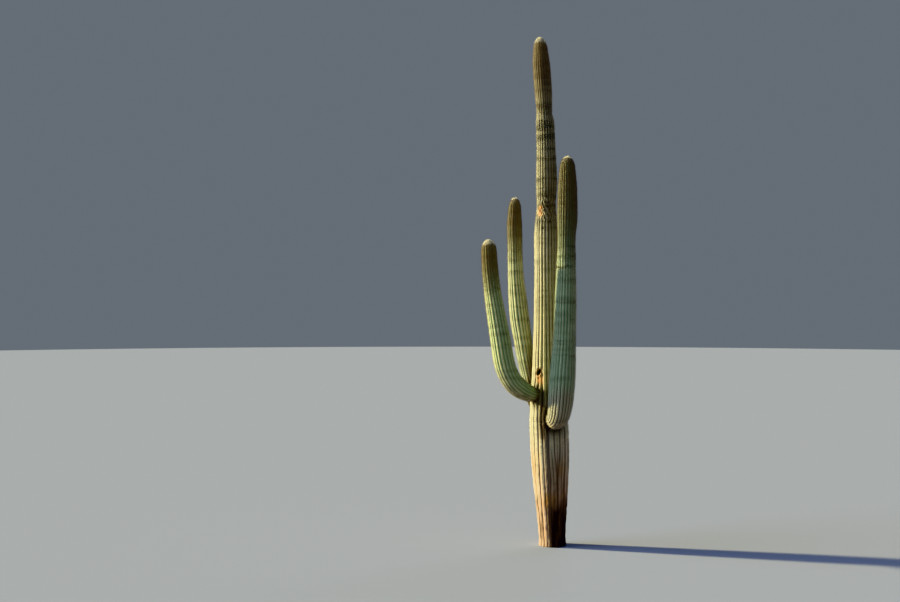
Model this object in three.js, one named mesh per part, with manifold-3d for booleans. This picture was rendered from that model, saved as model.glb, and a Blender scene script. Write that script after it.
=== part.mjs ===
import * as THREE from 'three';
import { mergeVertices } from 'three/addons/utils/BufferGeometryUtils.js';
import Module from 'manifold-3d';

// A grown saguaro cactus: one ribbed trunk and three arms that turn up beside it.
// Millimetres, +Z up. The origin is on the ground at the middle of the trunk's foot, and -Y is the front.

// Clear gap between an arm and the trunk, and between the two halves of one arm. The furrows'
// walls slope, so the space cut for the trunk is swollen by more than the gap that it leaves there.
const CLEARANCE = 0.3;
const TRUNK_SPACE_SWELL = 1.35 * CLEARANCE;

// Each limb's stations run from its root to its shoulder: [x, y, z, diameter over the ribs].
// tip is the length of the rounded end past the last station, and groove the depth of the
// furrows between the ribs as a share of the radius.
const TRUNK = {
  name: 'trunk',
  colour: '#8c8a58',
  ribs: 22,
  groove: 0.11,
  tip: 200,
  stations: [
    [0, 0, 0, 452],
    [-6, 0, 190, 440],
    [-17, 2, 745, 530],
    [-38, 8, 1410, 626],
    [-50, 14, 1800, 643],
    [-66, 20, 2150, 613],
    [-83, 28, 2730, 514],
    [-90, 34, 3230, 460],
    [-94, 40, 3730, 416],
    [-98, 42, 4470, 390],
    [-101, 42, 5140, 386],
    [-100, 40, 5600, 322],
    [-95, 36, 6050, 342],
    [-106, 30, 6600, 302],
    [-118, 24, 6980, 296],
    [-134, 20, 7207, 254],
    [-154, 14, 7560, 278],
    [-184, 6, 7980, 270],
    [-197, 0, 8200, 222],
  ],
};

const LEFT_ARM = {
  name: 'left_arm',
  colour: '#7f9a52',
  ribs: 18,
  groove: 0.13,
  tip: 165,
  bend: 5,
  stations: [
    [-160, -35, 2500, 205],
    [-290, -135, 2500, 216],
    [-405, -232, 2530, 272],
    [-560, -335, 2617, 312],
    [-690, -398, 2745, 322],
    [-781, -424, 2923, 328],
    [-832, -430, 3118, 332],
    [-895, -430, 3507, 322],
    [-948, -428, 3830, 296],
    [-1008, -426, 4200, 266],
    [-1050, -424, 4578, 252],
    [-1066, -424, 4865, 236],
  ],
};

const BACK_ARM = {
  name: 'back_arm',
  colour: '#8aa457',
  ribs: 18,
  groove: 0.13,
  tip: 190,
  bend: 4,
  stations: [
    [-120, 70, 2160, 200],
    [-205, 140, 2230, 214],
    [-290, 215, 2390, 234],
    [-352, 285, 2700, 256],
    [-418, 335, 3050, 282],
    [-469, 356, 3386, 302],
    [-519, 368, 3722, 318],
    [-556, 375, 4080, 300],
    [-584, 380, 4420, 262],
    [-600, 384, 4860, 240],
    [-608, 384, 5300, 242],
    [-604, 384, 5590, 204],
  ],
};

const RIGHT_ARM = {
  name: 'right_arm',
  colour: '#64805a',
  ribs: 22,
  groove: 0.12,
  tip: 200,
  bend: 5,
  stations: [
    [-50, -110, 2150, 236],
    [-8, -290, 2108, 262],
    [26, -415, 2112, 306],
    [54, -505, 2180, 346],
    [76, -545, 2310, 382],
    [92, -556, 2500, 406],
    [116, -556, 2849, 412],
    [149, -548, 3413, 360],
    [166, -538, 4059, 338],
    [178, -528, 4592, 306],
    [184, -522, 5060, 280],
    [196, -517, 5400, 316],
    [200, -510, 5850, 298],
    [200, -505, 6172, 250],
  ],
};

// Woodpeckers' nest hole in the front of the trunk, above the arms' roots: its height above the
// ground, how many degrees left of the front it faces, its mouth and how deep it goes.
const NEST = { height: 2872, bearing: 40, width: 90, rise: 112, depth: 150 };

// How finely the shapes are divided. A rib is a ridge and the furrow beside it.
const ROWS_PER_SPAN = 2;
const POINTS_PER_RIB = 2;
const TIP_ROWS = [0.34, 0.62, 0.84, 0.96];
const NEST_END_ROWS = 4;
const NEST_SIDES = 16;

// A rounded tip narrows as (1 - share ^ fullness) ^ 1/2 of its shoulder's radius.
const TIP_FULLNESS = 1.8;

// Corners this close are one corner.
const MERGE_WITHIN = 1e-4;

const wasm = await Module();
wasm.setup();

// Where a limb's middle, girth and direction are at a station number, which may be between two.
function limbAt(limb, station) {
  const share = station / (limb.stations.length - 1);
  const places = limb.stations.map(([x, y, z]) => new THREE.Vector3(x, y, z));
  const girths = limb.stations.map(([, , , diameter], index) => new THREE.Vector2(index, diameter));
  const route = new THREE.CatmullRomCurve3(places, false, 'catmullrom');
  return {
    centre: route.getPoint(share),
    radius: new THREE.SplineCurve(girths).getPoint(share).y / 2,
    along: route.getTangent(share),
  };
}

// The stations of a stretch of limb, and the rounded tip past the last one when it has its tip.
function limbRows(limb, first, last, hasTip) {
  const rows = [];
  for (let step = 0; step <= (last - first) * ROWS_PER_SPAN; step += 1) {
    rows.push(limbAt(limb, first + step / ROWS_PER_SPAN));
  }
  if (hasTip) {
    const shoulder = rows[rows.length - 1];
    for (const share of [...TIP_ROWS, 1]) {
      rows.push({
        centre: shoulder.centre.clone().addScaledVector(shoulder.along, limb.tip * share),
        radius: shoulder.radius * Math.sqrt(1 - share ** TIP_FULLNESS),
        along: shoulder.along,
      });
    }
  }
  return rows;
}

// Two directions across a limb. The trunk's sections are level, and an arm's square to the arm.
function acrossLimb(limb, along) {
  if (limb === TRUNK) {
    return [new THREE.Vector3(1, 0, 0), new THREE.Vector3(0, 1, 0)];
  }
  const [rootX, rootY] = limb.stations[0];
  const [shoulderX, shoulderY] = limb.stations[limb.stations.length - 1];
  const side = new THREE.Vector3(rootY - shoulderY, shoulderX - rootX, 0);
  side.addScaledVector(along, -side.dot(along)).normalize();
  return [side, along.clone().cross(side)];
}

// Merges what a lathe or a sphere leaves open at its seam and poles, and drops triangles of no area.
function closedGeometry(geometry) {
  geometry.deleteAttribute('normal');
  geometry.deleteAttribute('uv');
  const merged = mergeVertices(geometry, MERGE_WITHIN);
  const corners = merged.index.array;
  const kept = [];
  for (let corner = 0; corner < corners.length; corner += 3) {
    const [a, b, c] = corners.slice(corner, corner + 3);
    if (a !== b && b !== c && c !== a) {
      kept.push(a, b, c);
    }
  }
  merged.setIndex(kept);
  return merged;
}

// A ribbed limb: a lathed stack of rings, each one then moved to its row and pressed in at the furrows.
function limbGeometry(limb, rows, swell = 0) {
  const segments = limb.ribs * POINTS_PER_RIB;
  const profile = [new THREE.Vector2(0, 0)];
  rows.forEach((row, index) => profile.push(new THREE.Vector2(row.radius, index)));
  if (rows[rows.length - 1].radius > 0) {
    profile.push(new THREE.Vector2(0, rows.length - 1));
  }
  const geometry = new THREE.LatheGeometry(profile, segments);
  const position = geometry.attributes.position;
  for (let segment = 0; segment <= segments; segment += 1) {
    const angle = ((segment % segments) / segments) * Math.PI * 2;
    const furrow = segment % POINTS_PER_RIB === 0 ? 1 - limb.groove : 1;
    profile.forEach((point, index) => {
      const row = rows[Math.min(Math.max(index - 1, 0), rows.length - 1)];
      const reach = point.x > 0 ? point.x * furrow + swell : 0;
      const [across, up] = acrossLimb(limb, row.along);
      const place = row.centre.clone();
      place.addScaledVector(across, Math.cos(angle) * reach);
      place.addScaledVector(up, Math.sin(angle) * reach);
      position.setXYZ(segment * profile.length + index, place.x, place.y, place.z);
    });
  }
  return closedGeometry(geometry);
}

function solid(geometry) {
  return new wasm.Manifold(
    new wasm.Mesh({
      numProp: 3,
      vertProperties: new Float32Array(geometry.attributes.position.array),
      triVerts: new Uint32Array(geometry.index.array),
    }),
  );
}

function subPart(name, colour, body) {
  const { vertProperties, triVerts } = body.getMesh();
  const geometry = new THREE.BufferGeometry();
  geometry.setAttribute('position', new THREE.BufferAttribute(vertProperties, 3));
  geometry.setIndex(new THREE.BufferAttribute(triVerts, 1));
  const material = new THREE.MeshStandardMaterial({ color: colour, roughness: 0.75, metalness: 0 });
  const mesh = new THREE.Mesh(geometry, material);
  mesh.name = name;
  return mesh;
}

// The nest hole as a round-ended plug, lying level and pointing out of the trunk.
function nestPlug() {
  const next = TRUNK.stations.findIndex(([, , z]) => z > NEST.height);
  const [, , below] = TRUNK.stations[next - 1];
  const [, , above] = TRUNK.stations[next];
  const trunk = limbAt(TRUNK, next - 1 + (NEST.height - below) / (above - below));
  const outward = new THREE.Vector3(0, -1, 0);
  outward.applyAxisAngle(new THREE.Vector3(0, 0, 1), -THREE.MathUtils.degToRad(NEST.bearing));
  const straight = 2 * NEST.depth - NEST.width;
  const plug = new THREE.CapsuleGeometry(NEST.width / 2, straight, NEST_END_ROWS, NEST_SIDES);
  plug.scale(1, 1, NEST.rise / NEST.width);
  plug.rotateZ(-THREE.MathUtils.degToRad(NEST.bearing));
  plug.translate(trunk.centre.x, trunk.centre.y, NEST.height);
  plug.translate(outward.x * trunk.radius, outward.y * trunk.radius, 0);
  return solid(closedGeometry(plug));
}

function trunkBody(swell = 0) {
  const rows = limbRows(TRUNK, 0, TRUNK.stations.length - 1, true);
  return solid(limbGeometry(TRUNK, rows, swell));
}

// An arm is cut square where its bend ends, into an elbow that meets the trunk and an upright.
function armParts(limb, trunkSpace) {
  const elbowRows = limbRows(limb, 0, limb.bend, false);
  const uprightRows = limbRows(limb, limb.bend, limb.stations.length - 1, true);
  const cut = elbowRows[elbowRows.length - 1];
  cut.centre.addScaledVector(cut.along, -CLEARANCE / 2);
  uprightRows[0].centre.addScaledVector(cut.along, CLEARANCE / 2);
  const elbow = solid(limbGeometry(limb, elbowRows)).subtract(trunkSpace);
  const upright = solid(limbGeometry(limb, uprightRows)).subtract(trunkSpace);
  return [
    subPart(`${limb.name}_elbow`, limb.colour, elbow),
    subPart(`${limb.name}_upright`, limb.colour, upright),
  ];
}

const saguaro = new THREE.Group();
const trunkSpace = trunkBody(TRUNK_SPACE_SWELL);
saguaro.add(subPart(TRUNK.name, TRUNK.colour, trunkBody().subtract(nestPlug())));
for (const limb of [LEFT_ARM, BACK_ARM, RIGHT_ARM]) {
  saguaro.add(...armParts(limb, trunkSpace));
}

export default saguaro;
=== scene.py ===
import math

import bmesh
import bpy
import numpy as np
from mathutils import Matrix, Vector, noise


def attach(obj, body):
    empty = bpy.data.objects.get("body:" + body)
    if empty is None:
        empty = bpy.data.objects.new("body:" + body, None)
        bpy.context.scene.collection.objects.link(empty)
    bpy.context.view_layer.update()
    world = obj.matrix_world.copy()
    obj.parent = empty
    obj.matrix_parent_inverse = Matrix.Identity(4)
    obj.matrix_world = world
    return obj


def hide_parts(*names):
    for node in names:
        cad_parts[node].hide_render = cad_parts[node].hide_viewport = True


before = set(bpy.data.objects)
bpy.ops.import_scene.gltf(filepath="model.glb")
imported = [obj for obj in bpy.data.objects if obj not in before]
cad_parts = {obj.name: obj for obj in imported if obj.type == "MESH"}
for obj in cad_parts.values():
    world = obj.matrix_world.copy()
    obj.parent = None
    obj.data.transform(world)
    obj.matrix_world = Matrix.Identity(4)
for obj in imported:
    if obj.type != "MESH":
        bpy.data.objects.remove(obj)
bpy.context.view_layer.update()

# The view: the camera stands level with the middle of the plant, some 20 m in front of it, and
# looks straight ahead, so that the plant is a little to the right of the picture's middle.
VIEW_SIDEWAYS = -1.698
VIEW_DISTANCE = 20.71
VIEW_HEIGHT = 4.043
camera_data = bpy.data.cameras.new("camera")
camera_data.lens = 50
camera_data.sensor_width = 36
camera = bpy.data.objects.new("camera", camera_data)
camera.location = (VIEW_SIDEWAYS, -VIEW_DISTANCE, VIEW_HEIGHT)
camera.rotation_euler = (math.radians(90), 0, 0)
bpy.context.scene.collection.objects.link(camera)
bpy.context.scene.camera = camera
bpy.context.scene.view_settings.view_transform = "Khronos PBR Neutral"

# Three large lamps far away: a low warm one on the left, slightly behind the plant, and two wide
# cool ones that fill its shadows, on the left and behind it on the right.
LAMPS = [  # name, degrees from the left round to the back, degrees up, strength, degrees wide, colour
    ("warm_lamp", 15, 20, 13.0, 3, (1.0, 0.9, 0.42)),
    ("left_cool_lamp", -5, 35, 2.0, 40, (0.68, 0.85, 1.0)),
    ("right_cool_lamp", 115, 30, 0.9, 50, (0.8, 0.88, 1.0)),
]
for name, behind, height, strength, width, colour in LAMPS:
    lamp_data = bpy.data.lights.new(name, "SUN")
    lamp_data.energy = strength
    lamp_data.angle = math.radians(width)
    lamp_data.color = colour
    lamp = bpy.data.objects.new(name, lamp_data)
    lamp.rotation_mode = "QUATERNION"
    shines_along = Vector((
        math.cos(math.radians(behind)) * math.cos(math.radians(height)),
        -math.sin(math.radians(behind)) * math.cos(math.radians(height)),
        -math.sin(math.radians(height)),
    ))
    lamp.rotation_quaternion = shines_along.to_track_quat("-Z", "Y")
    bpy.context.scene.collection.objects.link(lamp)

# A faint pale blue light comes from all sides.
world = bpy.data.worlds.new("pale_studio")
world.use_nodes = True
world.node_tree.nodes["Background"].inputs["Color"].default_value = (0.77, 0.87, 1.0, 1)
world.node_tree.nodes["Background"].inputs["Strength"].default_value = 0.22
bpy.context.scene.world = world

# The floor is a wide plain disc, greyish blue and dull all over, that only the light and the
# plant's soft shadow fall on.
FLOOR_RADIUS = 90
FLOOR_SIDES = 96
floor_mesh = bpy.data.meshes.new("floor")
floor_shape = bmesh.new()
bmesh.ops.create_circle(floor_shape, segments=FLOOR_SIDES, radius=FLOOR_RADIUS, cap_ends=True)
floor_shape.to_mesh(floor_mesh)
floor_shape.free()
floor = bpy.data.objects.new("floor", floor_mesh)
bpy.context.scene.collection.objects.link(floor)
floor_finish = bpy.data.materials.new("pale_floor")
floor_finish.use_nodes = True
floor_shader = floor_finish.node_tree.nodes["Principled BSDF"]
floor_shader.inputs["Base Color"].default_value = (0.225, 0.24, 0.34, 1)
floor_shader.inputs["Roughness"].default_value = 1
floor_shader.inputs["Specular IOR Level"].default_value = 0
floor_mesh.materials.append(floor_finish)

# The trunk: one column of watery flesh on a cage of woody ribs. It is narrow at the ground, swells
# to its widest below the arms and tapers to a rounded woolly tip, with a pinch wherever a dry
# season checked its growth. It is made as rows of corners, and this section sets out its rows.
TRUNK_STATIONS = [  # x, y, z and diameter over the ribs
    (0, 0, 0, 0.452),
    (-0.006, 0, 0.19, 0.44),
    (-0.017, 0.002, 0.745, 0.53),
    (-0.038, 0.008, 1.41, 0.626),
    (-0.05, 0.014, 1.8, 0.643),
    (-0.066, 0.02, 2.15, 0.613),
    (-0.083, 0.028, 2.73, 0.514),
    (-0.09, 0.034, 3.23, 0.46),
    (-0.094, 0.04, 3.73, 0.416),
    (-0.098, 0.042, 4.47, 0.39),
    (-0.101, 0.042, 5.14, 0.386),
    (-0.1, 0.04, 5.6, 0.322),
    (-0.095, 0.036, 6.05, 0.342),
    (-0.106, 0.03, 6.6, 0.302),
    (-0.118, 0.024, 6.98, 0.296),
    (-0.134, 0.02, 7.207, 0.254),
    (-0.154, 0.014, 7.56, 0.278),
    (-0.184, 0.006, 7.98, 0.27),
    (-0.197, 0, 8.2, 0.222),
]
TRUNK_TIP = 0.2
TIP_FULLNESS = 1.8
TIP_ROWS = 16
NEST_HEIGHT = 2.872
SCAR_HEIGHT = 5.56
BARK_HEIGHT = 0.7
TRUNK_ROW_SPACING = 0.021
# Where the rows are closer together: round which height, how far from it, and by how much.
TRUNK_FINER_ROWS = [(NEST_HEIGHT, 0.1, 1.3), (SCAR_HEIGHT, 0.22, 0.9), (BARK_HEIGHT, 1.2, 0.7)]
CURVE_POINTS = 60


def bump(values, middle, reach):
    """A smooth hump of height 1 round a middle value."""
    return np.exp(-(((values - middle) / reach) ** 2))


def unit(vectors):
    """The same directions with a length of 1."""
    return vectors / np.maximum(np.linalg.norm(vectors, axis=-1, keepdims=True), 1e-9)


def smooth_through(stations, at):
    """Points of the smooth curve through evenly numbered stations, and its direction there."""
    points = np.array(stations, float)
    points = np.vstack([2 * points[0] - points[1], points, 2 * points[-1] - points[-2]])
    before = np.clip(np.floor(at).astype(int), 0, len(stations) - 2)
    t = (at - before)[:, None]
    a, b, c, d = (points[before + k] for k in range(4))
    squared = 2 * a - 5 * b + 4 * c - d
    cubed = 3 * b - a - 3 * c + d
    place = 0.5 * (2 * b + (c - a) * t + squared * t**2 + cubed * t**3)
    slope = 0.5 * ((c - a) + 2 * squared * t + 3 * cubed * t**2)
    return place, slope


def limb_rows(stations, tip, spacing, finer=()):
    """Rows along a limb, closer together round the finer heights, and then over its rounded tip."""
    fine = np.linspace(0, len(stations) - 1, CURVE_POINTS * len(stations))
    places, _ = smooth_through(stations, fine)
    run = np.concatenate([[0], np.cumsum(np.linalg.norm(np.diff(places[:, :3], axis=0), axis=1))])
    wanted = 1 + sum(extra * bump(places[:, 2], height, reach) for height, reach, extra in finer)
    wanted = wanted * np.ones(len(run))
    rows_by = np.concatenate([[0], np.cumsum(np.diff(run) * (wanted[1:] + wanted[:-1]) / 2 / spacing)])
    at = np.interp(np.linspace(0, rows_by[-1], round(rows_by[-1]) + 1), rows_by, fine)
    places, slopes = smooth_through(stations, at)
    centre, radius, along = places[:, :3], places[:, 3] / 2, unit(slopes[:, :3])
    share = np.sin(np.linspace(0, math.pi / 2, TIP_ROWS + 1)[1:])
    narrowing = np.sqrt(np.maximum(1 - share**TIP_FULLNESS, 0))
    centre = np.vstack([centre, centre[-1] + np.outer(share * tip, along[-1])])
    radius = np.concatenate([radius, radius[-1] * narrowing])
    along = np.vstack([along, np.tile(along[-1], (TIP_ROWS, 1))])
    run = np.concatenate([np.interp(at, fine, run), run[-1] + share * tip])
    return {"centre": centre, "radius": radius, "along": along, "from_tip": run[-1] - run}


trunk_rows = limb_rows(TRUNK_STATIONS, TRUNK_TIP, TRUNK_ROW_SPACING, TRUNK_FINER_ROWS)
trunk_height = trunk_rows["centre"][:, 2]
trunk_from_tip = trunk_rows["from_tip"]

# The trunk's ribs: pleats of the skin that open when the plant drinks. They wander a little, and
# some start part of the way up, between two others. Low down the old ones have grown broad and
# flat, with narrow furrows between them, and towards the tip they are shallower too.
TRUNK_RIBS = 22
TRUNK_RIBS_UNEVEN = 0.07
TRUNK_LATE_RIBS = {2: 1.2, 7: 1.8, 12: 0.9, 17: 1.1, 19: 1.85}  # a rib's number and where it starts
LATE_RIB_OPENS_OVER = 0.55
LATE_RIB_CLOSED = 0.86
WIDTH_TAKEN_BESIDE = {1: 0.3, 2: 0.13}  # how many ribs away, and what share of a closed rib's width
TRUNK_GROOVE = 0.115  # the furrows' depth, as a share of the radius
OLD_RIBS_SHALLOWER = 0.06
OLD_RIBS_END = (1.2, 2.6)  # heights, with a smooth change between them
TOP_RIBS_SHALLOWER = 0.045
TOP_RIBS_START = (4.8, 5.8)  # heights, in the same way
RIB_ROUNDNESS = 2.7
OLD_RIB_ROUNDNESS = 4.5
# Where a rib's corners lie across it, from one furrow to the next. RIDGE is the one on top.
RIB_SHARES = np.array([0, 0.07, 0.2, 0.35, 0.5, 0.65, 0.8, 0.93])
RIDGE = 4


def step(values, low, high):
    """0 below low, 1 above high, and a smooth rise between them."""
    share = np.clip((values - low) / (high - low), 0, 1)
    return share * share * (3 - 2 * share)


def rib_widths(height, ribs, uneven, late):
    """Each rib's width at each height. Below its start, a late rib gives its width to four others."""
    widths = np.ones((len(height), ribs))
    for rib in range(ribs):
        waves, offset = 0.5 + 0.05 * rib, 2.4 * rib
        widths[:, rib] += uneven * np.sin(height * waves + offset)
    for rib, start in late.items():
        lost = LATE_RIB_CLOSED * (1 - step(height, start, start + LATE_RIB_OPENS_OVER))
        widths[:, rib] -= lost
        for beside, part in WIDTH_TAKEN_BESIDE.items():
            widths[:, (rib - beside) % ribs] += part * lost
            widths[:, (rib + beside) % ribs] += part * lost
    return widths


def ribbed_skin(rows, widths, groove, roundness, level):
    """Corners round each row, over ribs of the given widths, with the way out of each corner."""
    along = rows["along"]
    if level:
        side = np.tile([1.0, 0, 0], (len(along), 1))
        up = np.tile([0, 1.0, 0], (len(along), 1))
    else:
        lean = rows["centre"][-1 - TIP_ROWS] - rows["centre"][0]
        side = np.array([-lean[1], lean[0], 0])
        side = unit(side - along * (along @ side)[:, None])
        up = np.cross(along, side)
    turns = widths / widths.sum(axis=1, keepdims=True)
    starts = np.cumsum(turns, axis=1) - turns
    angle = 2 * math.pi * (starts[:, :, None] + turns[:, :, None] * RIB_SHARES).reshape(len(along), -1)
    arch = 1 - np.abs(2 * RIB_SHARES - 1) ** roundness
    crest = (arch * np.clip(widths, 0, 1)[:, :, None]).reshape(len(along), -1)
    out = side[:, None] * np.cos(angle)[..., None] + up[:, None] * np.sin(angle)[..., None]
    reach = rows["radius"][:, None] * (1 - groove * (1 - crest))
    return {"place": rows["centre"][:, None] + out * reach[..., None], "out": out, "crest": crest}


trunk_youth = step(trunk_height, *OLD_RIBS_END)
trunk_groove = (
    TRUNK_GROOVE
    - OLD_RIBS_SHALLOWER * (1 - trunk_youth)
    - TOP_RIBS_SHALLOWER * step(trunk_height, *TOP_RIBS_START)
)
trunk_roundness = OLD_RIB_ROUNDNESS - (OLD_RIB_ROUNDNESS - RIB_ROUNDNESS) * trunk_youth
trunk = ribbed_skin(
    trunk_rows,
    rib_widths(trunk_height, TRUNK_RIBS, TRUNK_RIBS_UNEVEN, TRUNK_LATE_RIBS),
    trunk_groove[:, None],
    trunk_roundness[:, None, None],
    level=True,
)
trunk_place, trunk_out, trunk_crest = trunk["place"], trunk["out"], trunk["crest"]
trunk_z = trunk_place[..., 2]
trunk_bearing = np.arctan2(-trunk_out[..., 0], -trunk_out[..., 1])  # radians left of the front

# The marks of age on the trunk: cork that creeps up from the ground, dark rings where growth
# stopped for a season, and a band of scars and pits where frost or a blow broke the skin. Each
# mark is a share from 0 to 1 at every corner, which shapes the skin here and colours it later.
COARSE_WAVES = (3, 3, 1.6)
FINE_WAVES = (38, 38, 14)
CRUMB_WAVES = (55, 55, 45)
STEP_WAVES = (2, 2, 11)
RING_WANDER = 0.010
FAINT_RING_REACH = 0.016
TRUNK_RINGS = [  # height, strength and reach up and down
    (7.157, 0.6, 0.035),
    (7.0, 0.5, 0.012),
    (6.859, 1.0, 0.016),
    (6.71, 0.6, 0.013),
    (6.56, 0.7, 0.013),
    (6.37, 1.0, 0.018),
    (6.22, 0.5, 0.014),
    (6.06, 0.6, 0.012),
    (5.90, 0.6, 0.012),
    (4.69, 0.4, 0.02),
]
TRUNK_FAINT_RINGS = (4.0, 7.9, 0.108)  # from, to and spacing
PITS = [  # bearing left of the front, height, reach round the trunk and reach up
    (0.03, 5.77, 0.13, 0.022),
    (-0.1, 5.665, 0.22, 0.026),
    (0.42, 5.655, 0.1, 0.02),
    (-0.07, 5.605, 0.3, 0.018),
    (-0.2, 5.54, 0.12, 0.03),
    (-1.1, 5.47, 0.12, 0.03),
    (-0.45, 5.44, 0.1, 0.014),
    (-0.28, 5.355, 0.1, 0.03),
    (-0.75, 5.255, 0.3, 0.014),
    (0.35, 5.245, 0.12, 0.02),
    (2.2, 5.6, 0.2, 0.02),
    (-2.5, 5.5, 0.16, 0.03),
    (-1.2, 7.13, 0.5, 0.03),
    (0.43, 2.065, 0.07, 0.028),
]
PIT_SOFTNESS = 0.8
CORK_ENDS = (0.7, 2.2)  # heights, with a smooth change between them
SCAR_REACH = 0.2


def noise_at(places, waves, seed):
    """Smooth noise from -1 to 1 at each place, with so many waves for each metre along each axis."""
    scaled = places.reshape(-1, 3) * np.array(waves) + seed
    return np.array([noise.noise(p) for p in scaled.tolist()]).reshape(places.shape[:-1])


def between(values, low, low_full, high_full, high):
    """1 from low_full to high_full, and 0 below low and above high."""
    return step(values, low, low_full) * step(values, high, high_full)


def patch(bearing, across, height, rise):
    """A soft spot on the trunk round a bearing and a height, with its reach across and up."""
    return bump(trunk_bearing, bearing, across) * bump(trunk_z, height, rise)


def growth_marks(height, around, strong, faint, seed):
    """Dark rings round a limb: strong ones at given heights, and faint ones a season's growth apart."""
    wobble = RING_WANDER * np.sin(2 * around + 3 * height) + RING_WANDER / 2 * np.sin(5 * around + seed)
    marks = np.zeros(height.shape)
    for middle, strength, reach in strong:
        patchy = 0.7 + 0.3 * np.sin(around * 1.5 + 7 * middle + seed)
        marks = np.maximum(marks, strength * patchy * bump(height + wobble, middle, reach))
    dealt = np.random.default_rng(seed)
    low, high, spacing = faint
    for middle in np.arange(low, high, spacing):
        middle += dealt.uniform(-0.35, 0.35) * spacing
        turn = dealt.uniform(0, 2 * math.pi)
        patchy = np.clip(0.2 + 0.5 * np.cos(around - turn) + 0.5 * np.sin(3 * around + turn), 0, 1)
        strength = dealt.uniform(0.1, 0.5)
        marks = np.maximum(marks, strength * patchy * bump(height + wobble, middle, FAINT_RING_REACH))
    return marks


coarse = noise_at(trunk_place, COARSE_WAVES, 4)
fine = noise_at(trunk_place, FINE_WAVES, 9)
crumb = noise_at(trunk_place, CRUMB_WAVES, 15)
steps = noise_at(trunk_place, STEP_WAVES, 21)

cork = 1 - step(trunk_z + 0.4 * coarse, *CORK_ENDS)
towards_front = bump(trunk_bearing, 0.0, 1.1)
scar = bump(trunk_z + 0.05 * coarse, SCAR_HEIGHT, SCAR_REACH) * (0.35 + 0.65 * towards_front)
pits = np.zeros(trunk_z.shape)
for bearing, height, across, rise in PITS:
    away = np.hypot((trunk_bearing - bearing) / across, (trunk_z - height) / rise)
    pits = np.maximum(pits, bump(away, 0, PIT_SOFTNESS))
rings = growth_marks(trunk_z, trunk_bearing, TRUNK_RINGS, TRUNK_FAINT_RINGS, 3)

# Bare brown patches lie below the nest hole and beside the scars, and one furrow low on the lit
# side has rusted.
nest_patch = patch(0.62, 0.34, 2.74, 0.12)
scar_patch = patch(0.8, 0.4, 5.52, 0.11)
bare = np.clip(1.5 * np.maximum(nest_patch, scar_patch) - 0.35 + 0.4 * fine, 0, 1)
rust = bump(trunk_bearing, 0.65, 0.12) * (1 - step(trunk_z + 0.2 * coarse, 1.2, 2.0)) * (1 - trunk_crest)

# The bark low down on the right is darkened nearly black, partly a dark stain and partly painted
# shade, and the skin below the left arm is painted brown as shade. Higher up, the right side is
# painted darker and browner as shade.
stain_and_painted_shade = between(trunk_bearing, -1.8, -1.3, 0.04, 0.26) * (1 - step(trunk_z + 0.25 * coarse, 0.4, 0.9))
painted_shade_under_left_arm = bump(trunk_bearing, 0.42, 0.2) * between(trunk_z, 1.68, 1.86, 2.25, 2.5)
painted_shade_side = between(trunk_bearing, -2.3, -1.7, -0.1, 0.15)
weathering_and_painted_shade = 0.75 * painted_shade_side * between(trunk_z, 1.8, 2.4, 5.6, 6.6)

# On the right and behind, the flat old ribs have split along their middles, and the furrows low
# down on the front have all but closed.
on_middle = np.arange(trunk_z.shape[1]) % len(RIB_SHARES) == RIDGE
turned_away = step(trunk_bearing, 0.2, -0.1) + step(trunk_bearing, 2.0, 2.4)
split = on_middle * turned_away * (1 - step(trunk_z + 0.3 * coarse, 1.3, 2.0))
closed = between(trunk_bearing, -0.9, -0.5, 0.34, 0.5) * (1 - step(trunk_z, 1.9, 2.4))

# The relief of the trunk's skin: how far each corner stands out or lies in, and is pushed aside.
# Collars swell where the arms leave, and the ribs part round them and twist where the scar healed.
COARSE_RELIEF = 0.004
STEP_RELIEF = 0.003
FINE_RELIEF = 0.001
CORK_RELIEF = 0.003
SPLIT_DEPTH = 0.007
TRUNK_RING_DEPTH = 0.008
PIT_DEPTH = 0.02
CLOSED_SHARE = 0.85
SCAR_DEPTH = 0.002
SCAR_CRUMB_DEPTH = 0.02
BARE_RISE = 0.01
BARE_RIDGES_WORN = 0.024
LIP_RISE = 0.012  # of the skin under the pit below the left arm
ARM_ROOTS = [(53, 2.5, 0.112), (131, 2.36, 0.118), (-10, 2.11, 0.14)]  # degrees left, height, radius
COLLAR_RISE = 0.016
COLLAR_REACH = 0.055
RIBS_PART_BY = 0.01
RIBS_PART_REACH = 0.09
ROOT_SHADE_REACH = 0.11
RIBS_TWIST_BY = 0.018
RIB_TWISTS = 48  # radians for each metre up
TIP_SMOOTH_WITHIN = 0.12
FOOT_STRAIGHT_WITHIN = 0.5
NEST_BEARING = math.radians(40)
NEST_HALF_WIDTH = 0.047
NEST_HALF_RISE = 0.061
NEST_LEAN = 0.4
NEST_LIP_RISE = 0.008
NEST_LIP = (1.35, 0.3)  # its distance from the mouth's middle and its reach, in shares of the mouth
FAR_FROM_NEST = 9


def trunk_spot(bearing, height):
    """The point on the trunk's ridges at a bearing left of the front, and the way out there."""
    out = np.array([-math.sin(bearing), -math.cos(bearing), 0])
    centre = [np.interp(height, trunk_height, trunk_rows["centre"][:, axis]) for axis in range(3)]
    return np.array(centre) + out * np.interp(height, trunk_height, trunk_rows["radius"]), out


nest_mouth, nest_out = trunk_spot(NEST_BEARING, NEST_HEIGHT)
nest_across = np.array([-nest_out[1], nest_out[0], 0])


def from_mouth(places):
    """How far along, up and out from the middle of the mouth, in shares of its half width and rise."""
    away = places - nest_mouth
    up = away[..., 2] / NEST_HALF_RISE
    return away @ nest_across / NEST_HALF_WIDTH - NEST_LEAN * up, up, away @ nest_out


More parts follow.
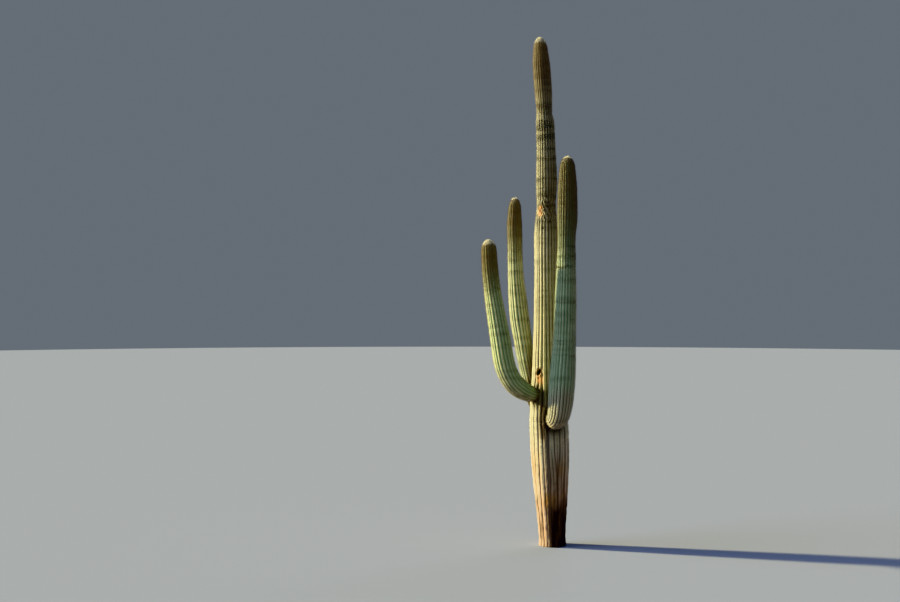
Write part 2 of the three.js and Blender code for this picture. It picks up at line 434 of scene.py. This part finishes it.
swell = COARSE_RELIEF * coarse + STEP_RELIEF * steps + (FINE_RELIEF + CORK_RELIEF * cork) * fine
swell -= SPLIT_DEPTH * split
swell -= TRUNK_RING_DEPTH * rings + PIT_DEPTH * pits
swell += CLOSED_SHARE * closed * (trunk_groove * trunk_rows["radius"])[:, None] * (1 - trunk_crest)
swell -= scar * (SCAR_DEPTH + SCAR_CRUMB_DEPTH * np.abs(crumb))
swell += bare * (BARE_RISE - BARE_RIDGES_WORN * trunk_crest)
swell += LIP_RISE * patch(0.35, 0.25, 2.03, 0.02)
shift = np.zeros(trunk_place.shape)
root_shade = np.zeros(trunk_z.shape)
for bearing, height, radius in ARM_ROOTS:
    root, _ = trunk_spot(math.radians(bearing), height)
    away = trunk_place - root
    distance = np.linalg.norm(away, axis=2)
    swell += COLLAR_RISE * bump(distance, radius, COLLAR_REACH)
    across = away - trunk_out * (away * trunk_out).sum(axis=2)[..., None]
    parting = RIBS_PART_BY * bump(distance, radius + 0.02, RIBS_PART_REACH)
    shift += unit(across) * parting[..., None]
    # Round each root the skin is darkened, partly as dark cork and partly as painted shade in the crease.
    root_shade = np.maximum(root_shade, bump(distance, radius * 0.9, ROOT_SHADE_REACH))
sideways = np.stack([-trunk_out[..., 1], trunk_out[..., 0], np.zeros(trunk_z.shape)], axis=2)
twist = np.sin(RIB_TWISTS * trunk_z + 3 * np.sin(3 * trunk_bearing))
shift += sideways * (RIBS_TWIST_BY * scar * twist)[..., None]

nest_ring = np.hypot(*from_mouth(trunk_place)[:2])
nest_ring = np.where((trunk_out @ nest_out) > 0, nest_ring, FAR_FROM_NEST)
swell += NEST_LIP_RISE * bump(nest_ring, *NEST_LIP)
swell *= step(trunk_from_tip, 0, TIP_SMOOTH_WITHIN)[:, None]
shift *= step(trunk_z, 0, FOOT_STRAIGHT_WITHIN)[..., None]
trunk_place = trunk_place + trunk_out * swell[..., None] + shift
trunk_place[0, :, 2] = 0

# The trunk's skin is closed over those corners, flat under the foot. Its marks go with it: crest
# is 1 on a ridge and 0 in a furrow, and is lowered as painted shade on one rib low on the front,
# and the others say where each of its finishes shows, painted shade among them.
FELT_REACH = 0.06


def all_round(values, place):
    """A value for each row, given to all the corners of the row."""
    return np.tile(values[:, None], place.shape[1])


def tube(place, marks):
    """A closed skin over rows of corners that end at a point. marks has a value for each corner."""
    count, around = place.shape[:2]
    skin = bmesh.new()
    layers = {mark: skin.verts.layers.float.new(mark) for mark in marks}
    corners = bmesh.ops.create_grid(skin, x_segments=around, y_segments=count - 1, size=1)["verts"]
    for number, corner in enumerate(corners):
        row, column = divmod(number, around + 1)
        corner.co = place[row, column % around]
        for mark, values in marks.items():
            corner[layers[mark]] = values[row, column % around]
    first = corners[:around]
    last = corners[-1 - around:-1]
    seam = {corners[row * (around + 1) + around]: corners[row * (around + 1)] for row in range(count)}
    bmesh.ops.weld_verts(skin, targetmap=seam)
    open_edges = dict.fromkeys(edge for corner in first for edge in corner.link_edges if edge.is_boundary)
    foot = bmesh.ops.contextual_create(skin, geom=list(open_edges))
    bmesh.ops.poke(skin, faces=foot["faces"])
    tip = sum((corner.co for corner in last), Vector()) / around
    bmesh.ops.pointmerge(skin, verts=last, merge_co=tip)
    bmesh.ops.recalc_face_normals(skin, faces=skin.faces)
    return skin


scabbed = 0.4 * scar * step(crumb, -0.1, 0.3) + 0.8 * bump(nest_ring, 1.2, 0.35)
banded = np.clip(steps + 0.1, 0, 0.6) * (0.4 + 1.2 * bump(trunk_from_tip, 1.6, 1.1))[:, None]
banded = banded + 0.6 * step(trunk_z, 4.7, 5.7)
# The darkening: rings, pits and scars, a stain low on the right that is partly painted shade, and painted
# shade round the arms' roots, below the left arm and over the closed furrows low on the front.
dark_marks_and_painted_shade = np.maximum(rings, pits) + root_shade + stain_and_painted_shade + 0.5 * scar * step(crumb, 0.1, 0.4)
dark_marks_and_painted_shade = dark_marks_and_painted_shade + 0.85 * painted_shade_under_left_arm + 0.22 * closed
trunk_skin = tube(trunk_place, {
    # One rib low on the front is given the furrows' tone as painted shade.
    "crest": trunk_crest * (1 - 0.85 * split) * (1 - 0.8 * closed * bump(trunk_bearing, 0.22, 0.12)),
    "tip": all_round(0.95 * bump(trunk_from_tip, 0, 0.95), trunk_place),
    # Below the left arm the bark's colour is painted shade.
    "cork": np.clip(cork + scabbed + 0.7 * painted_shade_under_left_arm, 0, 1),
    "weathering_and_painted_shade": weathering_and_painted_shade,
    "bare": np.clip(bare + 0.8 * rust, 0, 1),
    "felt": all_round(0.9 * bump(trunk_from_tip, 0, FELT_REACH), trunk_place),
    "band": np.clip(banded, 0, 1),
    "darkening_and_painted_shade": np.clip(dark_marks_and_painted_shade, 0, 1),
})

# The nest hole: a woodpecker's doorway through the skin into a chamber, whose wall and lip the
# plant has healed over with a hard brown scab. The skin is opened, its rim is rounded to the
# doorway's shape, and the wall is drawn in from the rim, painted darker inwards as shade.
NEST_NEAR_SIDE = -0.1
# The steps' darkness is painted shade deep in the hole.
NEST_STEPS = [  # how far in, how wide against the last step, and how dark
    (0.01, 0.93, 0.3),
    (0.02, 1.0, 0.7),
    (0.04, 1.35, 1),
    (0.05, 1.3, 1),
    (0.04, 0.7, 1),
]
NEST_BACK = 0.02


def ends_of(edges):
    """The corners at the edges' ends, each of them once, in the order of the edges."""
    return list(dict.fromkeys(corner for edge in edges for corner in edge.verts))


dark_layer = trunk_skin.verts.layers.float["darkening_and_painted_shade"]
opened = []
for face in trunk_skin.faces:
    along, up, depth = from_mouth(np.array(face.calc_center_median()))
    if math.hypot(along, up) < 1 and depth > NEST_NEAR_SIDE:
        opened.append(face)
bmesh.ops.delete(trunk_skin, geom=opened, context="FACES")
rim = [edge for edge in trunk_skin.edges if edge.is_boundary]
for corner in ends_of(rim):
    along, up, depth = from_mouth(np.array(corner.co))
    turn = math.atan2(up, along)
    leaned = math.cos(turn) + NEST_LEAN * math.sin(turn)
    aim = nest_across * (leaned * NEST_HALF_WIDTH) + nest_out * depth
    aim[2] += math.sin(turn) * NEST_HALF_RISE
    corner.co = Vector(nest_mouth + aim)
for inward, wide, dark in NEST_STEPS:
    ends = ends_of(rim)
    middle = sum((corner.co for corner in ends), Vector()) / len(ends)
    deeper = {}
    for corner in ends:
        place = middle + (corner.co - middle) * wide - Vector(nest_out) * inward
        deeper[corner] = trunk_skin.verts.new(place, corner)
        deeper[corner][dark_layer] = dark
    walls = []
    for edge in rim:
        near = edge.link_loops[0].vert
        far = edge.other_vert(near)
        walls.append(trunk_skin.faces.new((far, near, deeper[near], deeper[far])))
    rim = [wall.edges[2] for wall in walls]
back = middle - Vector(nest_out) * (inward + NEST_BACK)
bmesh.ops.pointmerge(trunk_skin, verts=list(deeper.values()), merge_co=back)
bmesh.ops.recalc_face_normals(trunk_skin, faces=trunk_skin.faces)

# The trunk's finish: dull waxy flesh, paler on the ridges, brown in the furrows and at the tip, and
# corky low down, darkened by its marks and by painted shade. The arms have the same finish in
# greener tones.
WEATHERED_AND_SHADE_FURROW = (0.14, 0.112, 0.09, 1)
WEATHERED_AND_SHADE_RIDGE = (0.48, 0.43, 0.34, 1)
TIP_FELT = (0.60, 0.55, 0.46, 1)
DARK_BARK = (0.15, 0.092, 0.07, 1)
PALE_BARK = (0.50, 0.345, 0.265, 1)
RUSTY_BARK = (0.40, 0.20, 0.07, 1)
SOOTY_BARK = (0.08, 0.05, 0.035, 1)
BARK_FURROW = (0.05, 0.026, 0.012, 1)
BARE_BROWN = (0.46, 0.21, 0.085, 1)
DARK_MARK_AND_SHADE_BROWN = (0.024, 0.016, 0.016, 1)
WAXY_ROUGHNESS = (0.5, 0.72)
CORK_ROUGHNESS = 0.9
FAINT_SHINE = 0.2


def skin_finish(name, flesh, flesh_pale, ridge_pale, ridge_from, furrow, shaded, young):
    """A limb's skin. ridge_from is the crest where the pale ridge starts, and shaded how strong the
    furrows' own tone is."""
    material = bpy.data.materials.new(name)
    material.use_nodes = True
    tree = material.node_tree
    shader = tree.nodes["Principled BSDF"]

    def node(kind, links, **settings):
        made = tree.nodes.new(kind)
        for key, value in settings.items():
            setattr(made, key, value)
        for socket, value in links.items():
            if isinstance(value, bpy.types.NodeSocket):
                tree.links.new(value, made.inputs[socket])
            else:
                made.inputs[socket].default_value = value
        return made

    def mark(attribute):
        return node("ShaderNodeAttribute", {}, attribute_name=attribute).outputs["Fac"]

    def pattern(scale, detail, stretch):
        where = node("ShaderNodeMapping", {"Vector": place, "Scale": stretch}).outputs[0]
        inputs = {"Vector": where, "Scale": scale, "Detail": detail, "Roughness": 0.55}
        return node("ShaderNodeTexNoise", inputs).outputs["Fac"]

    def graded(value, low, high, to_low=0.0, to_high=1.0):
        inputs = {"Value": value, "From Min": low, "From Max": high, "To Min": to_low, "To Max": to_high}
        return node("ShaderNodeMapRange", inputs, interpolation_type="SMOOTHSTEP").outputs[0]

    def times(a, b):
        return node("ShaderNodeMath", {0: a, 1: b}, operation="MULTIPLY").outputs[0]

    def blend(share, a, b):
        return node("ShaderNodeMix", {"Factor": share, 6: a, 7: b}, data_type="RGBA").outputs[2]

    place = node("ShaderNodeTexCoord", {}).outputs["Object"]
    crest, tip, cork, weathering_and_painted_shade = mark("crest"), mark("tip"), mark("cork"), mark("weathering_and_painted_shade")
    bare, darkening_and_painted_shade, band, felt = mark("bare"), mark("darkening_and_painted_shade"), mark("band"), mark("felt")
    mottle = pattern(scale=5, detail=5, stretch=(1, 1, 0.5))
    speckle = pattern(scale=70, detail=4, stretch=(1, 1, 0.7))
    streak = pattern(scale=16, detail=5, stretch=(1, 1, 0.12))

    colour = blend(graded(mottle, 0.35, 0.65), flesh, flesh_pale)
    on_ridge = times(graded(crest, ridge_from, 0.97), graded(speckle, 0.3, 0.6, 0.55, 1.0))
    colour = blend(on_ridge, colour, ridge_pale)
    # The weathered browns are real weathering on the arms' elbows and painted shade on the sides away
    # from the lamp.
    weathered_and_shade = blend(graded(crest, 0.3, 0.9), WEATHERED_AND_SHADE_FURROW, WEATHERED_AND_SHADE_RIDGE)
    colour = blend(weathering_and_painted_shade, colour, weathered_and_shade)
    colour = blend(band, colour, furrow)
    colour = blend(graded(crest, 0.5, 0.05, 0.0, shaded), colour, furrow)
    colour = blend(times(tip, graded(speckle, 0.3, 0.65, 0.7, 1.0)), colour, young)
    colour = blend(felt, colour, TIP_FELT)
    bark = blend(graded(streak, 0.35, 0.62), DARK_BARK, PALE_BARK)
    bark = blend(graded(mottle, 0.5, 0.68, 0.0, 0.6), bark, RUSTY_BARK)
    bark = blend(graded(mottle, 0.44, 0.3, 0.0, 0.6), bark, SOOTY_BARK)
    bark = blend(graded(crest, 0.55, 0.05, 0.0, 0.92), bark, BARK_FURROW)
    colour = blend(cork, colour, bark)
    colour = blend(times(bare, graded(speckle, 0.25, 0.6, 0.6, 1.0)), colour, BARE_BROWN)
    # Dark marks and painted shade both blend to this dark brown.
    colour = blend(times(darkening_and_painted_shade, graded(streak, 0.3, 0.6, 0.65, 1.0)), colour, DARK_MARK_AND_SHADE_BROWN)
    tree.links.new(colour, shader.inputs["Base Color"])

    waxy = graded(speckle, 0.3, 0.7, *WAXY_ROUGHNESS)
    dull = node("ShaderNodeMix", {"Factor": cork, 2: waxy, 3: CORK_ROUGHNESS}, data_type="FLOAT")
    tree.links.new(dull.outputs[0], shader.inputs["Roughness"])
    shader.inputs["Specular IOR Level"].default_value = FAINT_SHINE
    grain = node("ShaderNodeBump", {"Height": speckle, "Strength": 0.4, "Distance": 0.006}).outputs[0]
    furrows = {"Height": streak, "Strength": 0.35, "Distance": 0.014, "Normal": grain}
    tree.links.new(node("ShaderNodeBump", furrows).outputs[0], shader.inputs["Normal"])
    return material


def mesh_of(name, skin):
    """The finished skin as a smooth mesh."""
    mesh = bpy.data.meshes.new(name)
    skin.to_mesh(mesh)
    skin.free()
    mesh.shade_smooth()
    return mesh


def finished(name, mesh, finish, slot, *nodes):
    """Makes the object of a mesh, which rides on the plant and may stand for nodes of the frame."""
    mesh.materials.append(finish)
    piece = bpy.data.objects.new(name, mesh)
    bpy.context.scene.collection.objects.link(piece)
    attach(piece, "root")
    if nodes:
        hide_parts(*nodes)


trunk_finish = skin_finish(
    "trunk_skin",
    flesh=(0.28, 0.245, 0.205, 1),
    flesh_pale=(0.39, 0.35, 0.275, 1),
    ridge_pale=(0.72, 0.665, 0.475, 1),
    ridge_from=0.5,
    furrow=(0.066, 0.062, 0.054, 1),
    shaded=0.65,
    young=(0.10, 0.068, 0.05, 1),
)
finished("trunk_column", mesh_of("trunk_column", trunk_skin), trunk_finish, "trunk_skin", "trunk")

# The arms: each leaves the trunk through a narrow corky neck, bends, and climbs beside it as a
# ribbed column of its own, younger and greener than the trunk. The left arm comes first.
LEFT_ARM_STATIONS = [  # x, y, z and diameter over the ribs
    (-0.16, -0.035, 2.5, 0.205),
    (-0.29, -0.135, 2.5, 0.216),
    (-0.405, -0.232, 2.53, 0.272),
    (-0.56, -0.335, 2.617, 0.312),
    (-0.69, -0.398, 2.745, 0.322),
    (-0.781, -0.424, 2.923, 0.328),
    (-0.832, -0.43, 3.118, 0.332),
    (-0.895, -0.43, 3.507, 0.322),
    (-0.948, -0.428, 3.83, 0.296),
    (-1.008, -0.426, 4.2, 0.266),
    (-1.05, -0.424, 4.578, 0.252),
    (-1.066, -0.424, 4.865, 0.236),
]
ARM_ROW_SPACING = 0.0165
ARM_RIBS_UNEVEN = 0.06
ARM_RING_DEPTH = 0.006
ARM_TIP_SMOOTH_WITHIN = 0.1
FIRST_FAINT_RING = 0.8  # above the arm's root
FAINT_RING_SPACING = 0.12
NECK_REACH = 0.16


def arm_skin(stations, tip, ribs, groove, rings, brown_reach, aged_below, seed):
    """An arm's corners with their marks, like the trunk's. brown_reach is how far the brown of the
    tip reaches down, and below the height of aged_below the skin is weathered."""
    rows = limb_rows(stations, tip, ARM_ROW_SPACING)
    from_tip = rows["from_tip"]
    widths = rib_widths(from_tip[0] - from_tip, ribs, ARM_RIBS_UNEVEN, {})
    skin = ribbed_skin(rows, widths, groove, RIB_ROUNDNESS, level=False)
    place, out = skin["place"], skin["out"]
    height = place[..., 2]
    turn = np.tile(np.linspace(0, 2 * math.pi, place.shape[1], endpoint=False), (len(place), 1))
    coarse = noise_at(place, COARSE_WAVES, seed)
    fine = noise_at(place, FINE_WAVES, seed + 5)
    steps = noise_at(place, STEP_WAVES, seed + 9)
    faint = (stations[0][2] + FIRST_FAINT_RING, stations[-1][2], FAINT_RING_SPACING)
    marks = growth_marks(height, turn, rings, faint, seed)
    centre = [np.interp(height, trunk_height, trunk_rows["centre"][:, axis]) for axis in range(2)]
    beside = np.hypot(place[..., 0] - centre[0], place[..., 1] - centre[1])
    beside -= np.interp(height, trunk_height, trunk_rows["radius"])
    neck = 1 - step(beside + 0.02 * coarse, 0.0, NECK_REACH)
    # Skin that faces down is browner, with some of the bark's colour.
    underside = np.clip(-1.3 * out[..., 2], 0, 1)
    swell = COARSE_RELIEF * coarse + STEP_RELIEF * steps + FINE_RELIEF * fine - ARM_RING_DEPTH * marks
    swell *= step(from_tip, 0, ARM_TIP_SMOOTH_WITHIN)[:, None]
    return {
        "place": place + out * swell[..., None],
        "out": out,
        "from_tip": from_tip,
        "crest": skin["crest"],
        "marks": {
            "crest": skin["crest"],
            "tip": all_round(0.95 * step(from_tip, brown_reach, 0.3 * brown_reach), place),
            "cork": np.clip(0.75 * neck + 0.6 * underside, 0, 1),
            "weathering_and_painted_shade": 0.85 * (1 - step(height + 0.12 * coarse, aged_below - 0.35, aged_below)),
            "bare": np.zeros(neck.shape),
            "felt": all_round(0.9 * bump(from_tip, 0, FELT_REACH), place),
            "band": np.clip(0.8 * steps, 0, 0.5),
            # Where the arm meets the trunk its end is painted dark as the shade in the crease.
            "darkening_and_painted_shade": np.clip(np.maximum(marks, 1.3 * bump(np.maximum(beside, 0), 0, 0.1)), 0, 1),
        },
    }


left_arm = arm_skin(
    LEFT_ARM_STATIONS,
    tip=0.165,
    ribs=18,
    groove=0.09,
    rings=[(4.32, 0.4, 0.012), (3.62, 0.35, 0.012)],
    brown_reach=1.15,
    aged_below=2.5,
    seed=31,
)
left_finish = skin_finish(
    "left_arm_skin",
    flesh=(0.285, 0.39, 0.22, 1),
    flesh_pale=(0.345, 0.445, 0.255, 1),
    ridge_pale=(0.60, 0.63, 0.39, 1),
    ridge_from=0.75,
    furrow=(0.115, 0.135, 0.08, 1),
    shaded=0.25,
    young=(0.125, 0.075, 0.042, 1),
)
left_mesh = mesh_of("left_arm_column", tube(left_arm["place"], left_arm["marks"]))
finished("left_arm_column", left_mesh, left_finish, "left_arm_skin", "left_arm_elbow", "left_arm_upright")

# The back arm leaves the trunk behind the left one and climbs close to it. It is made like the
# left arm, and its skin is a greyer green with more of the pale ridges.
BACK_ARM_STATIONS = [  # x, y, z and diameter over the ribs
    (-0.12, 0.07, 2.16, 0.2),
    (-0.205, 0.14, 2.23, 0.214),
    (-0.29, 0.215, 2.39, 0.234),
    (-0.352, 0.285, 2.7, 0.256),
    (-0.418, 0.335, 3.05, 0.282),
    (-0.469, 0.356, 3.386, 0.302),
    (-0.519, 0.368, 3.722, 0.318),
    (-0.556, 0.375, 4.08, 0.3),
    (-0.584, 0.38, 4.42, 0.262),
    (-0.6, 0.384, 4.86, 0.24),
    (-0.608, 0.384, 5.3, 0.242),
    (-0.604, 0.384, 5.59, 0.204),
]
back_arm = arm_skin(
    BACK_ARM_STATIONS,
    tip=0.19,
    ribs=18,
    groove=0.1,
    rings=[(4.9, 0.4, 0.012), (3.95, 0.35, 0.012)],
    brown_reach=1.25,
    aged_below=2.4,
    seed=47,
)
back_finish = skin_finish(
    "back_arm_skin",
    flesh=(0.235, 0.30, 0.215, 1),
    flesh_pale=(0.305, 0.37, 0.265, 1),
    ridge_pale=(0.62, 0.62, 0.40, 1),
    ridge_from=0.65,
    furrow=(0.10, 0.105, 0.08, 1),
    shaded=0.4,
    young=(0.105, 0.066, 0.042, 1),
)
back_mesh = mesh_of("back_arm_column", tube(back_arm["place"], back_arm["marks"]))
finished("back_arm_column", back_mesh, back_finish, "back_arm_skin", "back_arm_elbow", "back_arm_upright")

# The right arm is the oldest and thickest. It comes out towards the viewer and hangs in a heavy
# elbow before it climbs, and its skin is a bluer green, with its right side painted browner as shade.
RIGHT_ARM_STATIONS = [  # x, y, z and diameter over the ribs
    (-0.05, -0.11, 2.15, 0.236),
    (-0.008, -0.29, 2.108, 0.262),
    (0.026, -0.415, 2.112, 0.306),
    (0.054, -0.505, 2.18, 0.346),
    (0.076, -0.545, 2.31, 0.382),
    (0.092, -0.556, 2.5, 0.406),
    (0.116, -0.556, 2.849, 0.412),
    (0.149, -0.548, 3.413, 0.36),
    (0.166, -0.538, 4.059, 0.338),
    (0.178, -0.528, 4.592, 0.306),
    (0.184, -0.522, 5.06, 0.28),
    (0.196, -0.517, 5.4, 0.316),
    (0.2, -0.51, 5.85, 0.298),
    (0.2, -0.505, 6.172, 0.25),
]
right_arm = arm_skin(
    RIGHT_ARM_STATIONS,
    tip=0.2,
    ribs=22,
    groove=0.085,
    rings=[(4.915, 0.9, 0.016), (4.592, 1.0, 0.02), (4.02, 1.0, 0.015), (3.171, 0.6, 0.012)],
    brown_reach=2.3,
    aged_below=2.75,
    seed=59,
)
right_marks = right_arm["marks"]
# Its right side takes the weathered browns as painted shade.
right_marks["weathering_and_painted_shade"] = np.maximum(right_marks["weathering_and_painted_shade"], 0.4 * step(right_arm["out"][..., 0], 0.1, 0.8))
right_finish = skin_finish(
    "right_arm_skin",
    flesh=(0.27, 0.37, 0.25, 1),
    flesh_pale=(0.33, 0.43, 0.295, 1),
    ridge_pale=(0.48, 0.56, 0.40, 1),
    ridge_from=0.8,
    furrow=(0.15, 0.19, 0.125, 1),
    shaded=0.3,
    young=(0.08, 0.053, 0.035, 1),
)
right_mesh = mesh_of("right_arm_column", tube(right_arm["place"], right_marks))
finished(
    "right_arm_column", right_mesh, right_finish, "right_arm_skin", "right_arm_elbow", "right_arm_upright"
)

# The areoles: felted pads in a row down every ridge, about 3 cm apart. Each grows a cluster of
# stiff spines, brown when new, straw a few seasons later and grey with age.
PAD_SPACING = 0.03
PAD_SPACING_UNEVEN = 0.004
LAST_PAD_FROM_TIP = 0.012
PAD_LENGTH = 0.012
PAD_WIDTH = 0.009
PAD_RISE = 0.004
PAD_SUNK = 0.003
OLD_PAD_SIZE = 0.8
NEW_PAD_EXTRA = 0.4
NEW_PADS_REACH = 0.5
ON_A_FULL_RIDGE = 0.7
SPINES_ON_A_PAD = 10
CENTRAL_ONE_IN = 4
CENTRAL_RISE = (0.5, 1.0)  # how steeply the central spines and the outer ones stand, in radians
OUTER_RISE = (0.15, 0.5)
CENTRAL_LENGTH = (0.028, 0.042)
OUTER_LENGTH = (0.016, 0.026)
NEW_SPINE_EXTRA = 0.3
NEW_SPINES_REACH = 0.6
TONES_MINGLE_OVER = 0.25
HIGHEST_SPINE = 0.020
SPINE_THICKNESS = 0.0022
SPINE_ROOT_RISE = 0.001
SPINE_ROOT_REACH = 0.002
# The faces of one pad and of one spine, by the numbers of their corners.
PAD_FACES = [(0, 2, 4), (2, 1, 4), (1, 3, 4), (3, 0, 4), (2, 0, 5), (1, 2, 5), (3, 1, 5), (0, 3, 5)]
SPINE_FACES = [(0, 2, 1), (0, 1, 3), (1, 2, 3), (2, 0, 3)]


def pad_places(limb, keep, seed):
    """Where the areoles of a limb are: their place, ways along, across and out, and age in metres."""
    dealt = np.random.default_rng(seed)
    found = []
    for rib in range(limb["place"].shape[1] // len(RIB_SHARES)):
        column = rib * len(RIB_SHARES) + RIDGE
        line = limb["place"][:, column]
        run = np.concatenate([[0], np.cumsum(np.linalg.norm(np.diff(line, axis=0), axis=1))])
        at = np.arange(dealt.uniform(0, PAD_SPACING), run[-1] - LAST_PAD_FROM_TIP, PAD_SPACING)
        at += dealt.uniform(-PAD_SPACING_UNEVEN, PAD_SPACING_UNEVEN, len(at))

        def along_line(values):
            if values.ndim == 1:
                return np.interp(at, run, values)
            return np.stack([np.interp(at, run, values[:, axis]) for axis in range(3)], axis=1)

        spot = along_line(line)
        way = unit(along_line(np.gradient(line, axis=0)))
        across = unit(np.cross(way, along_line(limb["out"][:, column])))
        away = np.cross(across, way)
        on_ridge = along_line(limb["crest"][:, column]) > ON_A_FULL_RIDGE
        kept = on_ridge & (dealt.random(len(at)) < along_line(keep[:, column]))
        age = along_line(limb["from_tip"])
        found.append(np.column_stack([spot, way, across, away, age])[kept])
    return np.vstack(found)


def joined_mesh(name, points, faces):
    """One mesh of many small like shapes. points is shapes by corners by 3, faces one shape's faces."""
    shapes, corners = points.shape[:2]
    faces = np.array(faces)
    everyone = (faces[None] + corners * np.arange(shapes)[:, None, None]).reshape(-1, faces.shape[1])
    mesh = bpy.data.meshes.new(name)
    mesh.from_pydata(points.reshape(-1, 3).tolist(), [], everyone.tolist())
    mesh.update()
    return mesh


def plain_finish(name, colour, roughness):
    """One plain colour, for felt or spines."""
    material = bpy.data.materials.new(name)
    material.use_nodes = True
    shader = material.node_tree.nodes["Principled BSDF"]
    shader.inputs["Base Color"].default_value = colour
    shader.inputs["Roughness"].default_value = roughness
    shader.inputs["Specular IOR Level"].default_value = FAINT_SHINE
    return material


spine_finishes = {
    "crown": plain_finish("crown_spines", (0.74, 0.70, 0.58, 1), 0.7),
    "young": plain_finish("young_spines", (0.35, 0.26, 0.17, 1), 0.65),
    "brown": plain_finish("brown_spines", (0.16, 0.107, 0.067, 1), 0.65),
    "straw": plain_finish("straw_spines", (0.48, 0.43, 0.32, 1), 0.7),
    "grey": plain_finish("grey_spines", (0.31, 0.285, 0.25, 1), 0.8),
}
pad_finish = plain_finish("areole_felt", (0.16, 0.12, 0.07, 1), 0.95)


def dress(name, limb, keep, new_tone, crown_to, new_to, straw_to, seed):
    """Gives a limb its areoles and spines. Counted from the tip, the crown's pale spines, the new
    ones and the straw ones reach as far as crown_to, new_to and straw_to, and the rest are grey."""
    pads = pad_places(limb, keep, seed)
    spot, way, across, away, age = pads[:, :3], pads[:, 3:6], pads[:, 6:9], pads[:, 9:12], pads[:, 12]
    size = OLD_PAD_SIZE + NEW_PAD_EXTRA * bump(age, 0, NEW_PADS_REACH)[:, None]
    corners = np.stack([
        spot + way * size * PAD_LENGTH / 2,
        spot - way * size * PAD_LENGTH / 2,
        spot + across * size * PAD_WIDTH / 2,
        spot - across * size * PAD_WIDTH / 2,
        spot + away * PAD_RISE,
        spot - away * PAD_SUNK,
    ], axis=1)
    felt = joined_mesh(f"{name}_areoles", corners, PAD_FACES)
    finished(f"{name}_areoles", felt, pad_finish, "spines")

    dealt = np.random.default_rng(seed + 1)
    count = (len(pads), SPINES_ON_A_PAD)
    numbers = np.arange(SPINES_ON_A_PAD)
    around = 2 * math.pi * (numbers + dealt.uniform(-0.35, 0.35, count)) / SPINES_ON_A_PAD
    central = numbers % CENTRAL_ONE_IN == 0
    rise = np.where(central, dealt.uniform(*CENTRAL_RISE, count), dealt.uniform(*OUTER_RISE, count))
    length = np.where(central, dealt.uniform(*CENTRAL_LENGTH, count), dealt.uniform(*OUTER_LENGTH, count))
    length = length * (1 + NEW_SPINE_EXTRA * bump(age, 0, NEW_SPINES_REACH)[:, None])
    flat = way[:, None] * np.cos(around)[..., None] + across[:, None] * np.sin(around)[..., None]
    aim = flat * np.cos(rise)[..., None] + away[:, None] * np.sin(rise)[..., None]
    reach = np.minimum(length, HIGHEST_SPINE / np.sin(rise))
    root = spot[:, None] + away[:, None] * SPINE_ROOT_RISE + flat * SPINE_ROOT_REACH
    sides = unit(np.cross(aim, flat + 0.3 * across[:, None]))
    others = np.cross(aim, sides)
    thick = SPINE_THICKNESS / 2
    spines = np.stack([
        root + sides * thick,
        root - sides * thick / 2 + others * thick,
        root - sides * thick / 2 - others * thick,
        root + aim * reach[..., None],
    ], axis=2)
    blurred = age + dealt.uniform(-TONES_MINGLE_OVER, TONES_MINGLE_OVER, len(age))
    tones = {
        "crown": age < crown_to,
        new_tone: (age >= crown_to) & (blurred < new_to),
        "straw": (age >= crown_to) & (blurred >= new_to) & (blurred < straw_to),
        "grey": blurred >= straw_to,
    }
    for tone, chosen in tones.items():
        if chosen.any():
            mesh = joined_mesh(f"{name}_spines_{tone}", spines[chosen].reshape(-1, 4, 3), SPINE_FACES)
            finished(f"{name}_spines_{tone}", mesh, spine_finishes[tone], "spines")


# Low down, the trunk has shed its spines. Few grow on its scars, and none round the nest hole or
# where an arm leaves it. An arm's corky neck has none either.
trunk_limb = {"place": trunk_place, "out": trunk_out, "from_tip": trunk_from_tip, "crest": trunk_crest}
trunk_keep = step(trunk_z, 1.1, 2.2) * (nest_ring > 1.5) * (bare < 0.4) * (root_shade < 0.6)
trunk_keep = trunk_keep * (1 - 0.8 * scar)
dress("trunk", trunk_limb, trunk_keep, "young", crown_to=0.09, new_to=1.1, straw_to=3.6, seed=71)
for name, arm, crown_to, new_to, straw_to, seed in [
    ("left_arm", left_arm, 0.08, 0.75, 2.4, 81),
    ("back_arm", back_arm, 0.03, 0.95, 2.6, 91),
    ("right_arm", right_arm, 0.03, 1.75, 3.0, 101),
]:
    arm_keep = (arm["marks"]["cork"] < 0.7).astype(float)
    dress(name, arm, arm_keep, "brown", crown_to, new_to, straw_to, seed)
